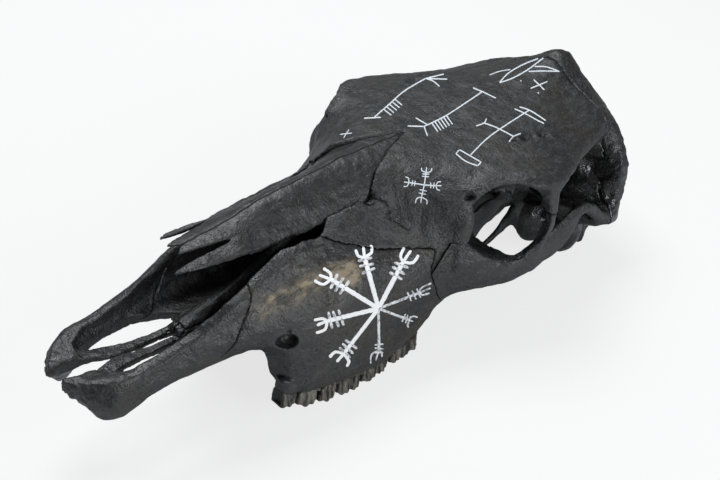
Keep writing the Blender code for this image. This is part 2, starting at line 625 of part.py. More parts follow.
def halves(pair):
    """Part a paired bone along the middle plane."""
    sides = []
    for word, low, high in (('left', GAP / 2, WIDE), ('right', -WIDE, -GAP / 2)):
        half = duplicate(f'{pair.name}_{word}', pair)
        box = prism('half', [(-20, -60), (560, -60), (560, 240), (-20, 240)], low, high)
        combine(half, [box], 'INTERSECT')
        sides.append(largest(half))
    remove(pair)
    return sides


PREMAXILLA_CUT = [(0, -10), (58, -10), (66, 24), (90, 31), (106, 38), (116, 52), (123, 63),
                  (130, 74), (133, 84), (133, 130), (0, 130)]
MAXILLA_CUT = [(40, -30), (298, -30), (297, 30), (288, 44), (274, 60), (266, 78), (270, 93),
               (258, 93.5), (231, 94), (207, 100), (191, 104), (187, 112), (187, 160), (40, 160)]
ZYGOMATIC_CUT = [(260, 20), (330, 20), (386, 66), (396, 92), (404, 118), (330, 118),
                 (300, 97), (260, 97)]
VOMER_CUT = [(108, 40.5), (120, 43), (160, 45), (206, 51), (238, 62), (238, 104), (200, 98),
             (160, 80), (120, 60), (108, 50)]
OCCIPITAL_CUT = [(452, 30), (452, 150), (456, 162), (456, 215), (520, 215), (520, 30)]
WIDE = 130


def material(name, colour, roughness):
    """Make the surface of one bone."""
    surface = bpy.data.materials.new(name)
    surface.use_nodes = True
    shader = surface.node_tree.nodes['Principled BSDF']
    shader.inputs['Base Color'].default_value = (*colour, 1.0)
    shader.inputs['Roughness'].default_value = roughness
    shader.inputs['Metallic'].default_value = 0.0
    return surface


def build():
    """Model the bones, part them and lay the skull down."""
    for body in list(bpy.data.objects):
        bpy.data.objects.remove(body, do_unlink=True)

    bodies, inner = skull_pieces()
    skull = fuse('skull', bodies, VOXEL)
    smooth(skull, 0.5, 3)
    combine(skull, hollows(), 'DIFFERENCE')
    combine(skull, inner, 'UNION')
    skull = fuse('skull', [skull], VOXEL)
    smooth(skull, 0.4, 2)
    largest(skull)
    thin_out(skull, FACES_WANTED)

    combine(skull, teeth(1) + teeth(-1), 'UNION')
    combine(skull, [nasal('bed', side, grow=GAP, lift=BED_LIFT) for side in (1, -1)], 'DIFFERENCE')

    bones = [nasal(f'nasal_{word}', side) for word, side in (('left', 1), ('right', -1))]
    bones.append(largest(part_off(skull, 'vomer', VOMER_CUT, -9, 9)))
    bones += halves(part_off(skull, 'premaxilla', PREMAXILLA_CUT, -WIDE, WIDE))
    bones += halves(part_off(skull, 'maxilla', MAXILLA_CUT, -WIDE, WIDE))
    for word, low, high in (('left', 76, WIDE), ('right', -WIDE, -76)):
        zygomatic = part_off(skull, f'zygomatic_{word}', ZYGOMATIC_CUT, low, high)
        bones.append(largest(zygomatic))
    bones.append(largest(part_off(skull, 'occipital', OCCIPITAL_CUT, -WIDE, WIDE)))
    skull.name = 'cranium'
    bones.append(largest(skull))
    return bones


def lay_down(bones):
    """Turn the bones into the pose of rest, level their feet and centre them."""
    run = JUGULAR_LOW - MOLAR_LOW
    pitch = Matrix.Rotation(-math.atan2(run.z, run.y), 4, 'X')
    for bone in bones:
        bone.data.transform(pitch)
    floor = min((pitch @ (MOLAR_LOW * MM)).z, (pitch @ (JUGULAR_LOW * MM)).z)
    floor += FLOOR_TRIM * MM
    for bone in bones:
        if min(v.co.z for v in bone.data.vertices) < floor:
            low = floor / MM
            slab = prism('floor', [(-50, low - 60), (600, low - 60), (600, low), (-50, low)],
                         -WIDE, WIDE)
            combine(bone, [slab], 'DIFFERENCE')
            largest(bone)
    xs = [v.co.x for bone in bones for v in bone.data.vertices]
    ys = [v.co.y for bone in bones for v in bone.data.vertices]
    shift = Vector((-(min(xs) + max(xs)) / 2, -(min(ys) + max(ys)) / 2, -floor))
    for bone in bones:
        bone.data.transform(Matrix.Translation(shift))
    return shift


BLACK_BONE = (0.035, 0.036, 0.038)
WORN_BONE = (0.06, 0.055, 0.048)

parts = build()
SHIFT = lay_down(parts)
for part in parts:
    worn = part.name.startswith(('maxilla', 'vomer'))
    part.data.materials.clear()
    part.data.materials.append(material(f'{part.name}_bone', WORN_BONE if worn else BLACK_BONE,
                                        0.5))
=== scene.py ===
"""Finished skull of a polled cow: black-stained bone with figures painted in white."""

import json
import math

import bmesh
import bpy
import numpy as np
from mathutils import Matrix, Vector, noise
from mathutils.bvhtree import BVHTree

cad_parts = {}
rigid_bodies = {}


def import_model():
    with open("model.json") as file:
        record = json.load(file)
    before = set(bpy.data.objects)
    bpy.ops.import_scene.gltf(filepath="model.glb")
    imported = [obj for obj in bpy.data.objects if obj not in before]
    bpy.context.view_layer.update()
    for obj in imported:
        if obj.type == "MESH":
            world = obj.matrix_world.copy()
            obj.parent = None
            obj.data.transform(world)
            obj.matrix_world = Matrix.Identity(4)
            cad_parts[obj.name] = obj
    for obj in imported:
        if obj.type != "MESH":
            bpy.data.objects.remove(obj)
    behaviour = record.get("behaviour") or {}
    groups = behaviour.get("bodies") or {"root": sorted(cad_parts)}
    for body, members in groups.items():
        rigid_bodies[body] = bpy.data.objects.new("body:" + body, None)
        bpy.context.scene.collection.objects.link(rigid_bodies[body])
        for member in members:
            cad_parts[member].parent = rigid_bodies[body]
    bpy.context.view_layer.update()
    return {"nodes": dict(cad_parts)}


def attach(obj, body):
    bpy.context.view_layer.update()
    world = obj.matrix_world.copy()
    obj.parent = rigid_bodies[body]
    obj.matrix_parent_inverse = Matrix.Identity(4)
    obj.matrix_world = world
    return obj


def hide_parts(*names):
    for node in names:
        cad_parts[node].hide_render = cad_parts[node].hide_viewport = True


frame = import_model()

# Cranium: braincase, forehead, orbits and temples in one body of bone, stained black and
# with wax in the temples. The rim of each orbit is open spongy bone on which the stain wore
# thin, and the joints and vein holes are as they grew. The vein holes, the hollow of each
# orbit and the floor of the temples are darkened with painted shade, and the black of the
# wax in the temples is partly painted shade too.
PITCH = math.atan2(57.5, 257.0)      # how far the skull leans as it rests on its teeth
SHIFT = Vector((0.0, -263.896, 58.204))
CRANIUM_GRAIN = 0.0016               # edge of a cell of its even mesh
SHARP = math.radians(40)             # folds sharper than this stay crisp
SOFTEN = 2                           # rounds of smoothing of the even mesh
FAR_FROM_JOINT = 6.0                 # for bones that carry no joint of their own
JOINT_DEPTH, HOLE_DEPTH = 0.8, 6.5
RIGHT_HOLE = 0.3                     # share of the vein holes' depth on the right side

# Black of the pores, of the joints, of the painted shade in hollows and of bone under wax
# (its black partly painted shade), the two tones of the spongy bone, and how many lumps of
# each noise lie side by side in a metre.
PORE_BLACK, JOINT_BLACK = (0.006, 0.006, 0.006, 1), (0.002, 0.002, 0.002, 1)
PAINTED_SHADE_BLACK, WAX_AND_SHADE_BLACK = (0.0025, 0.0025, 0.0024, 1), (0.006, 0.006, 0.0065, 1)
SPONGE_DARK, SPONGE_PALE = (0.008, 0.008, 0.009, 1), (0.1, 0.104, 0.112, 1)
WAX_ROUGH = (0.16, 0.16, 0.16, 1)
BONE_SHEEN = 0.62
RELIEF = 0.0012                      # height of the grain that is too fine for the mesh
CLOUD, STREAK, SPECK, DENT, GRAIN, PORE = 26.0, 170.0, 430.0, 140.0, 640.0, 480.0

# Lines on the left side, as (x to the animal's left, y from the nose, z up) in
# millimetres on the upright skull: the rim of the orbit, and the joints of the bones.
ORBIT_RIM = [(78, 293, 133), (82, 305, 141), (89, 323, 145), (97, 343, 138), (101, 352, 127),
             (104, 352, 102), (100, 339, 87), (94, 323, 82), (83, 295, 90), (79, 287, 100),
             (76, 288, 118), (78, 293, 133)]
TEMPLE_LINE = [(66, 460, 162), (70, 447, 156), (74, 433, 150), (78, 419, 146), (84, 403, 139),
               (90, 384, 136), (95, 373, 132), (100, 364, 126), (104, 357, 116), (106, 349, 101)]
TEAR_JOINT = [(30, 238, 122), (35.2, 242.7, 122.1), (39.1, 248, 120.8), (42.4, 248.8, 116.5),
              (46.3, 248.1, 111.1), (57.2, 256.9, 103.9)]
FOREHEAD_JOINT = [(0, 226, 134), (0, 302, 149), (0, 352, 159), (0, 392, 167)]
BROW_CRACK = [(56.0, 350, 154), (59.6, 367, 156.4), (63.0, 380, 157), (65.5, 391, 158)]
VEIN_HOLES = [((59.6, 367.5, 156.6), (6.0, 9.0, 9)), ((63.0, 381.5, 157.2), (5.0, 7.0, 9)),
              ((57.0, 356.0, 155), (3.4, 4.5, 7))]
CORNER_HOLE = (31, 238, 122)
CORNER_REACH = (6.5, 7, 7)
ORBIT_MIDDLE, ORBIT_REACH = (62, 325, 108), (36, 46, 38)
RIM_NOTCH = ((77.5, 290.5, 132.0), (6, 6, 4.5))

# The temple lies behind, beside and below these places; its floor gets painted shade, and
# its wax, darkened with painted shade, ends at the outer side of the arch.
TEMPLE_BEHIND, TEMPLE_BESIDE, TEMPLE_BELOW = (358, 380), (36, 48), (-143, -136)
TEMPLE_SHADE, WAX_END = (-138, -112), (-92, -86)


def upright(co):
    """Turn places in metres as the skull lies into millimetres on the upright skull."""
    lying = co * 1000 - np.array(SHIFT)
    c, s = math.cos(PITCH), math.sin(PITCH)
    return np.stack((lying[:, 0], c * lying[:, 1] - s * lying[:, 2],
                     s * lying[:, 1] + c * lying[:, 2]), axis=1)


def from_line(points, line, mirror=True):
    """Measure how far each place lies from a line, on one or on both sides."""
    p = points.copy()
    if mirror:
        p[:, 0] = np.abs(p[:, 0])
    nearest = np.full(len(p), 1e6)
    for a, b in zip(line, line[1:]):
        a, b = np.array(a, float), np.array(b, float)
        run = b - a
        t = np.clip(((p - a) @ run) / (run @ run), 0, 1)
        nearest = np.minimum(nearest, np.linalg.norm(p - a - t[:, None] * run, axis=1))
    return nearest


def near(points, centre, radii, mirror=True):
    """Give 1 at a place, falling softly to 0 at the radii."""
    p = points.copy()
    if mirror:
        p[:, 0] = np.abs(p[:, 0])
    d = np.linalg.norm((p - np.array(centre)) / np.array(radii), axis=1)
    return np.clip(1 - d, 0, 1) ** 2 * (3 - 2 * np.clip(1 - d, 0, 1))


def ease(values, low, high):
    """Rise softly from 0 at low to 1 at high."""
    t = np.clip((values - low) / (high - low), 0, 1)
    return t * t * (3 - 2 * t)


def lumps(points, size, seed, octaves=3):
    """Give each place a noise value from about -1 to 1 with lumps of this size."""
    at = points / size + seed * 17.3
    return np.array([noise.fractal(p, 1.0, 2.0, octaves) for p in at])


def blank(name, cad_node, grain):
    """Copy a bone of the frame, round its facets and give it an even fine mesh."""
    source = frame["nodes"][cad_node]
    bone = bpy.data.objects.new(name, source.data.copy())
    bpy.context.scene.collection.objects.link(bone)
    bone.data.materials.clear()
    bpy.ops.object.select_all(action="DESELECT")
    bone.select_set(True)
    bpy.context.view_layer.objects.active = bone
    bpy.ops.object.mode_set(mode="EDIT")
    bpy.ops.mesh.select_all(action="SELECT")
    bpy.ops.mesh.remove_doubles(threshold=0.00001)
    bpy.ops.object.mode_set(mode="OBJECT")
    bm = bmesh.new()
    bm.from_mesh(bone.data)
    crease = bm.edges.layers.float.new("crease_edge")
    for edge in bm.edges:
        if len(edge.link_faces) == 2 and edge.calc_face_angle(0.0) > SHARP:
            edge[crease] = 1.0
    bm.to_mesh(bone.data)
    bm.free()
    rounder = bone.modifiers.new("Round", "SUBSURF")
    rounder.levels = rounder.render_levels = 2
    finer = bone.modifiers.new("Even", "REMESH")
    finer.mode = "VOXEL"
    finer.voxel_size = grain
    relax = bone.modifiers.new("Relax", "SMOOTH")
    relax.factor = 0.5
    relax.iterations = SOFTEN
    bpy.ops.object.modifier_apply(modifier="Round")
    form = bpy.data.objects.new("form", bone.data.copy())
    bpy.context.scene.collection.objects.link(form)
    hug = bone.modifiers.new("Hug", "SHRINKWRAP")
    hug.wrap_method = "NEAREST_SURFACEPOINT"
    hug.target = form
    for modifier in ("Even", "Relax", "Hug"):
        bpy.ops.object.modifier_apply(modifier=modifier)
    bpy.data.objects.remove(form)
    bpy.ops.object.shade_smooth()
    return bone


def read(bone):
    """Give a bone's places in metres, the same upright in millimetres, and its normals."""
    count = len(bone.data.vertices)
    co = np.empty(count * 3, np.float32)
    bone.data.vertices.foreach_get("co", co)
    normal = np.empty(count * 3, np.float32)
    bone.data.vertices.foreach_get("normal", normal)
    co = co.reshape(-1, 3).astype(float)
    return co, upright(co), normal.reshape(-1, 3).astype(float)


def raise_by(bone, co, p, normal, height):
    """Move each vertex out along its normal by a height, and with the bone's wander."""
    shift = wander(p)
    c, s = math.cos(PITCH), math.sin(PITCH)
    lying = np.stack((shift[:, 0], c * shift[:, 1] + s * shift[:, 2],
                      c * shift[:, 2] - s * shift[:, 1]), axis=1)
    moved = co + (normal * height[:, None] + lying) * 0.001
    moved[:, 2] = np.maximum(moved[:, 2], 0.0)
    bone.data.vertices.foreach_set("co", moved.astype(np.float32).ravel())
    bone.data.update()


def note(bone, **given):
    """Keep at each vertex what the bone's material reads; a plain number is the same all over."""
    values = {"joint": FAR_FROM_JOINT, "spongy": 0.0, "deep": 0.0, "waxed": 0.0, **given}
    for word, value in values.items():
        layer = bone.data.attributes.new(word, "FLOAT", "POINT")
        spread_out = np.broadcast_to(value, len(bone.data.vertices))
        layer.data.foreach_set("value", spread_out.astype(np.float32))


def wander(p):
    """Shift places the way bone grows unevenly; joined bones shift together."""
    sizes = ((42.0, 1.0), (13.0, 0.75), (5.0, 0.34))
    return sum(np.array([noise.noise_vector(q) for q in p / size + 40.0]) * reach
               for size, reach in sizes)


def fine_relief(p, seed):
    """Give old bone its shallow pitting and fine tooth."""
    return lumps(p, 7.5, seed, 3) * 0.16 + lumps(p, 2.8, seed + 2, 2) * 0.09


def shader_group(name, takes, gives):
    """Start a node group with named inputs and outputs."""
    tree = bpy.data.node_groups.new(name, "ShaderNodeTree")
    for word, kind, value in takes:
        socket = tree.interface.new_socket(word, in_out="INPUT", socket_type=kind)
        socket.default_value = value
    for word, kind in gives:
        tree.interface.new_socket(word, in_out="OUTPUT", socket_type=kind)
    return tree, tree.nodes.new("NodeGroupInput"), tree.nodes.new("NodeGroupOutput")


def node(tree, kind, settings=None, **values):
    """Add a node, set its own settings and the values of its sockets."""
    made = tree.nodes.new(kind)
    for word, value in (settings or {}).items():
        setattr(made, word, value)
    for word, value in values.items():
        made.inputs[word.replace("_", " ")].default_value = value
    return made


def wire(tree, *pairs):
    """Join outputs to inputs."""
    for out, into in pairs:
        tree.links.new(out, into)


def math_node(tree, operation, first, second):
    """Work out one number from two, each an output or a plain number."""
    made = node(tree, "ShaderNodeMath", {"operation": operation})
    for slot, value in enumerate((first, second)):
        if isinstance(value, (int, float)):
            made.inputs[slot].default_value = value
        else:
            tree.links.new(value, made.inputs[slot])
    return made.outputs[0]


def spread(tree, value, low, high, to_low=0.0, to_high=1.0):
    """Stretch a value from one range to another and clamp it."""
    made = node(tree, "ShaderNodeMapRange", {"clamp": True})
    made.inputs["From Min"].default_value = low
    made.inputs["From Max"].default_value = high
    made.inputs["To Min"].default_value = to_low
    made.inputs["To Max"].default_value = to_high
    tree.links.new(value, made.inputs["Value"])
    return made.outputs["Result"]


def blend(tree, share, first, second, how="MIX"):
    """Mix two colours, each an output or a plain colour, by a share."""
    made = node(tree, "ShaderNodeMix", {"data_type": "RGBA", "blend_type": how})
    for slot, value in ((0, share), (6, first), (7, second)):
        if isinstance(value, (tuple, int, float)):
            made.inputs[slot].default_value = value
        else:
            tree.links.new(value, made.inputs[slot])
    return made.outputs[2]


def stain_group():
    """Black stain in bone: cloudy, warmer where it is thin, with pale rubbed specks."""
    tree, given, out = shader_group(
        "black stain",
        [("Dark", "NodeSocketColor", (0.02, 0.02, 0.022, 1)),
         ("Warm", "NodeSocketColor", (0.04, 0.035, 0.028, 1)),
         ("Rubbed", "NodeSocketColor", (0.09, 0.095, 0.1, 1)),
         ("Rubbing", "NodeSocketFloat", 0.5)],
        [("Color", "NodeSocketColor"), ("Roughness", "NodeSocketFloat"),
         ("Height", "NodeSocketFloat")])
    where = node(tree, "ShaderNodeTexCoord").outputs["Object"]
    cloud = node(tree, "ShaderNodeTexNoise", Scale=CLOUD, Detail=7.0, Roughness=0.7)
    streak_at = node(tree, "ShaderNodeMapping")
    streak_at.inputs["Scale"].default_value = (1.0, 0.35, 1.0)
    streak = node(tree, "ShaderNodeTexNoise", Scale=STREAK, Detail=7.0, Roughness=0.72)
    speck = node(tree, "ShaderNodeTexNoise", Scale=SPECK, Detail=5.0, Roughness=0.75)
    wire(tree, (where, cloud.inputs["Vector"]), (where, streak_at.inputs["Vector"]),
         (streak_at.outputs["Vector"], streak.inputs["Vector"]), (where, speck.inputs["Vector"]))
    warm = blend(tree, spread(tree, cloud.outputs["Fac"], 0.44, 0.62), given.outputs["Dark"],
                 given.outputs["Warm"])
    patch = spread(tree, streak.outputs["Fac"], 0.5, 0.66)
    grit = spread(tree, speck.outputs["Fac"], 0.5, 0.62)
    rubbed = math_node(tree, "MULTIPLY", math_node(tree, "ADD", math_node(
        tree, "MULTIPLY", patch, 0.45), math_node(tree, "MULTIPLY", grit, 0.6)),
        given.outputs["Rubbing"])
    colour = blend(tree, rubbed, warm, given.outputs["Rubbed"])
    rough = spread(tree, math_node(tree, "ADD", streak.outputs["Fac"], speck.outputs["Fac"]),
                   0.8, 1.2, 0.4, 0.6)
    dent = node(tree, "ShaderNodeTexNoise", Scale=DENT, Detail=1.5, Roughness=0.45)
    grain = node(tree, "ShaderNodeTexNoise", Scale=GRAIN, Detail=1.0, Roughness=0.4)
    wire(tree, (where, dent.inputs["Vector"]), (where, grain.inputs["Vector"]))
    height = math_node(tree, "ADD", dent.outputs["Fac"],
                       math_node(tree, "MULTIPLY", grain.outputs["Fac"], 0.5))
    wire(tree, (colour, out.inputs["Color"]), (rough, out.inputs["Roughness"]),
         (height, out.inputs["Height"]))
    return tree


def pore_group():
    """Small open pores and vein holes in the skin of the bone."""
    tree, given, out = shader_group(
        "pores",
        [("Scale", "NodeSocketFloat", PORE), ("Amount", "NodeSocketFloat", 0.4)],
        [("Mask", "NodeSocketFloat"), ("Height", "NodeSocketFloat")])
    where = node(tree, "ShaderNodeTexCoord").outputs["Object"]
    cells = node(tree, "ShaderNodeTexVoronoi", {"feature": "F1"}, Randomness=1.0)
    area = node(tree, "ShaderNodeTexNoise", Scale=46.0, Detail=3.0, Roughness=0.55)
    wire(tree, (where, cells.inputs["Vector"]), (given.outputs["Scale"], cells.inputs["Scale"]),
         (where, area.inputs["Vector"]))
    reach = math_node(tree, "MULTIPLY", spread(tree, area.outputs["Fac"], 0.38, 0.7),
                      given.outputs["Amount"])
    hole = math_node(tree, "SUBTRACT", reach, cells.outputs["Distance"])
    mask = spread(tree, hole, 0.0, 0.14)
    wire(tree, (mask, out.inputs["Mask"]),
         (math_node(tree, "MULTIPLY", mask, -0.6), out.inputs["Height"]))
    return tree


def seam_group():
    """A joint between two bones: a thin dark wandering line."""
    tree, given, out = shader_group(
        "joint line",
        [("Distance", "NodeSocketFloat", 5.0), ("Width", "NodeSocketFloat", 0.7),
         ("Jag", "NodeSocketFloat", 1.6)],
        [("Mask", "NodeSocketFloat")])
    where = node(tree, "ShaderNodeTexCoord").outputs["Object"]
    wobble = node(tree, "ShaderNodeTexNoise", Scale=330.0, Detail=3.0, Roughness=0.6)
    wire(tree, (where, wobble.inputs["Vector"]))
    jag = math_node(tree, "MULTIPLY", math_node(tree, "SUBTRACT", wobble.outputs["Fac"], 0.5),
                    given.outputs["Jag"])
    edge = math_node(tree, "SUBTRACT", math_node(tree, "ADD", given.outputs["Width"], jag),
                     given.outputs["Distance"])
    wire(tree, (spread(tree, edge, -0.25, 0.3), out.inputs["Mask"]))
    return tree


def sponge_group():
    """Open spongy bone where the hard skin wore off: pale walls round dark cells."""
    tree, _, out = shader_group(
        "spongy bone", [],
        [("Color", "NodeSocketColor"), ("Height", "NodeSocketFloat")])
    where = node(tree, "ShaderNodeTexCoord").outputs["Object"]
    cells = node(tree, "ShaderNodeTexVoronoi", {"feature": "F1"}, Scale=620.0, Randomness=1.0)
    dirt = node(tree, "ShaderNodeTexNoise", Scale=420.0, Detail=4.0, Roughness=0.7)
    wire(tree, (where, cells.inputs["Vector"]), (where, dirt.inputs["Vector"]))
    wall = spread(tree, math_node(tree, "ADD", cells.outputs["Distance"], math_node(
        tree, "MULTIPLY", dirt.outputs["Fac"], 0.9)), 0.75, 1.2)
    colour = blend(tree, wall, SPONGE_DARK, SPONGE_PALE)
    wire(tree, (colour, out.inputs["Color"]), (wall, out.inputs["Height"]))
    return tree


STAIN, PORES, SEAM, SPONGE = stain_group(), pore_group(), seam_group(), sponge_group()


def use_group(tree, group, **values):
    """Place a node group with its own values."""
    made = node(tree, "ShaderNodeGroup", {"node_tree": group})
    for word, value in values.items():
        made.inputs[word.replace("_", " ")].default_value = value
    return made


def attribute(tree, word):
    """Read a value that was kept at the vertices."""
    return node(tree, "ShaderNodeAttribute", {"attribute_name": word}).outputs["Fac"]


def black_bone(name, dark, warm, rubbed, rubbing=0.5, pores=0.45, bump=0.75, matt=0.0):
    """Make stained bone with pores, joints, spongy edges and painted shade in its hollows."""
    surface = bpy.data.materials.new(name)
    surface.use_nodes = True
    tree = surface.node_tree
    shader = tree.nodes["Principled BSDF"]
    stain = use_group(tree, STAIN, Dark=(*dark, 1), Warm=(*warm, 1), Rubbed=(*rubbed, 1),
                      Rubbing=rubbing)
    pore = use_group(tree, PORES, Scale=PORE, Amount=pores)
    seam = use_group(tree, SEAM, Width=0.55, Jag=1.8)
    sponge = use_group(tree, SPONGE)
    wire(tree, (attribute(tree, "joint"), seam.inputs["Distance"]))
    spongy, deep = attribute(tree, "spongy"), attribute(tree, "deep")
    colour = blend(tree, math_node(tree, "MULTIPLY", pore.outputs["Mask"], 0.75),
                   stain.outputs["Color"], PORE_BLACK)
    colour = blend(tree, spongy, colour, sponge.outputs["Color"])
    colour = blend(tree, seam.outputs["Mask"], colour, JOINT_BLACK)
    # Painted shade: the hollows, holes and gaps that the bone marks are blended to a flat black.
    colour = blend(tree, deep, colour, PAINTED_SHADE_BLACK)
    height = math_node(tree, "ADD", stain.outputs["Height"], pore.outputs["Height"])
    height = math_node(tree, "ADD", height, math_node(
        tree, "MULTIPLY", sponge.outputs["Height"], spongy))
    height = math_node(tree, "SUBTRACT", height, math_node(
        tree, "MULTIPLY", seam.outputs["Mask"], 1.5))
    relief = node(tree, "ShaderNodeBump", Strength=bump, Distance=RELIEF)
    # Wax: glossy bone whose flat black is also painted shade in the temples and on the low flanks.
    wax_and_shade_share = attribute(tree, "waxed")
    colour = blend(tree, wax_and_shade_share, colour, WAX_AND_SHADE_BLACK)
    rough = math_node(tree, "ADD", stain.outputs["Roughness"], matt)
    rough = blend(tree, wax_and_shade_share, rough, WAX_ROUGH)
    wire(tree, (colour, shader.inputs["Base Color"]), (rough, shader.inputs["Roughness"]),
         (height, relief.inputs["Height"]), (relief.outputs["Normal"], shader.inputs["Normal"]))
    shader.inputs["Specular IOR Level"].default_value = BONE_SHEEN
    return surface


cranium = blank("cranium_bone", "cranium", CRANIUM_GRAIN)
co, p, normal = read(cranium)
spongy = ease(-from_line(p, ORBIT_RIM), -8.0, -2.5) * (0.55 + 0.45 * lumps(p, 9.0, 3))
spongy = np.maximum(spongy, ease(-from_line(p, TEMPLE_LINE), -2.2, -0.4) * 0.35)
spongy = np.clip(spongy, 0, 1)
joint = np.minimum(from_line(p, TEAR_JOINT), from_line(p, BROW_CRACK) + 0.3)
joint = np.minimum(joint, from_line(p, FOREHEAD_JOINT, False) + 0.75)
veins = sum(near(p, *hole) for hole in VEIN_HOLES) * np.where(p[:, 0] > 0, 1.0, RIGHT_HOLE)
holes = veins + near(p, CORNER_HOLE, CORNER_REACH) + near(p, *RIM_NOTCH)
side = np.abs(p[:, 0])
fossa = ease(p[:, 1], *TEMPLE_BEHIND) * ease(side, *TEMPLE_BESIDE)
fossa = fossa * ease(-p[:, 2], *TEMPLE_BELOW)
shaded = fossa * ease(-p[:, 2], *TEMPLE_SHADE)
socket = ease(near(p, ORBIT_MIDDLE, ORBIT_REACH), 0.0, 0.12)
height = fine_relief(p, 1) + 0.5 * lumps(p, 2.6, 5, 2) * spongy
height -= JOINT_DEPTH * ease(-joint, -1.5, 0.0) + HOLE_DEPTH * np.clip(holes, 0, 1)
height += fossa * 0.6 * lumps(p, 11.0, 7, 3)
raise_by(cranium, co, p, normal, height)
# Painted shade: a flat black in the holes, on the floor of the temple and in the orbit.
deep = np.clip(holes * 1.8 + 0.95 * shaded + 0.85 * socket * (1 - spongy), 0, 1)
note(cranium, joint=joint, spongy=spongy, deep=deep, waxed=fossa * 0.9 * ease(-side, *WAX_END))
cranium.data.materials.append(black_bone(
    "cranium_black", dark=(0.004, 0.0042, 0.005), warm=(0.014, 0.012, 0.009),
    rubbed=(0.085, 0.09, 0.10), rubbing=0.5, matt=0.05))
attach(cranium, "root")
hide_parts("cranium")

# Occipital: the back wall of the skull, with the opening for the spinal cord and the two
# condyles. It is bone stained black, with a crest and rough scars where the neck
# muscles were fixed. The opening for the cord and the low flanks are darkened with
# painted shade; the flanks carry wax, whose black is partly painted shade too.
OCCIPITAL_GRAIN = 0.00135
CREST_HEIGHT = 2.6
MUSCLE_SCARS = [((24, 480, 150), (20, 30, 15)), ((50, 474, 138), (16, 30, 13))]
CORD_HOLE = ((0, 470, 90), (18, 40, 18))

occipital = blank("occipital_bone", "occipital", OCCIPITAL_GRAIN)
co, p, normal = read(occipital)
side = np.abs(p[:, 0])
crest = ease(-side, -6, 0) * ease(p[:, 2], 104, 118) * ease(-p[:, 2], -172, -150)
muscle = ease(p[:, 2], 92, 104) * ease(-p[:, 2], -172, -160)
scars = np.maximum(near(p, *MUSCLE_SCARS[0]), near(p, *MUSCLE_SCARS[1]))
flank = ease(side, 62, 76) * ease(-p[:, 2], -146, -130) * ease(-p[:, 1], -468, -456)
height = fine_relief(p, 11) + CREST_HEIGHT * crest + muscle * 0.7 * lumps(p, 5.0, 13, 3)
height -= scars * (1.8 + 0.9 * lumps(p, 3.4, 17, 2))
raise_by(occipital, co, p, normal, height)
# Painted shade in the opening for the cord and on the low flanks.
note(occipital, spongy=np.clip(0.4 * muscle * lumps(p, 14.0, 15), 0, 1),
     deep=np.clip(near(p, *CORD_HOLE) + 0.75 * flank, 0, 1), waxed=0.8 * flank)
occipital.data.materials.append(black_bone(
    "occipital_black", dark=(0.004, 0.004, 0.0045), warm=(0.014, 0.012, 0.009),
    rubbed=(0.08, 0.083, 0.09), rubbing=0.45, pores=0.5))
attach(occipital, "root")
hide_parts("occipital")

# Upper jaws: one on each side, of stained bone with six worn cheek teeth set in it. On the
# cheek the stain is rubbed through to brown, most on the left. The ribbed crowns are grey,
# with painted shade in the gaps between them, along the gum line and in the holes of the
# cheek.
JAW_GRAIN = 0.00115
TOOTH_GAPS = (150.0, 165.4, 184.2, 202.0, 225.8, 253.6, 284.4)
GUM_LINE = [(150, 8), (160, 5), (215, 3.5), (240, 5), (265, 10), (286, 17)]
WORN_BAND = [(47, 139, 70), (50, 152, 75.5), (53, 169, 80), (55, 188, 85), (56.5, 205, 87)]
WORN_SPOTS = [((50, 150, 75), (10, 11, 9)), ((53, 170, 79.5), (10, 13, 9)),
              ((56, 199, 87), (12, 16, 11)), ((62, 204, 79), (10, 12, 9))]
CHEEK_HOLES = [((60.0, 151.0, 47.0), (8, 9, 6.5)), ((59.8, 151.8, 55.0), (3, 2.2, 2.0)),
               ((52.8, 140.6, 42.0), (3, 2.4, 2.2)), ((64.0, 162.0, 40.6), (3, 2.2, 2.0))]
FIRST_TOOTH = ((60, 153, 21), (14, 9, 11))
RIB_HEIGHT, GAP_DEPTH, GUM_DEPTH, CHEEK_HOLE_DEPTH = 0.65, 2.6, 0.7, 3.2
BROWN_DARK, BROWN_PALE = (0.05, 0.039, 0.022, 1), (0.235, 0.19, 0.125, 1)
CROWN_DARK, CROWN_PALE = (0.007, 0.0065, 0.0055, 1), (0.17, 0.16, 0.132, 1)


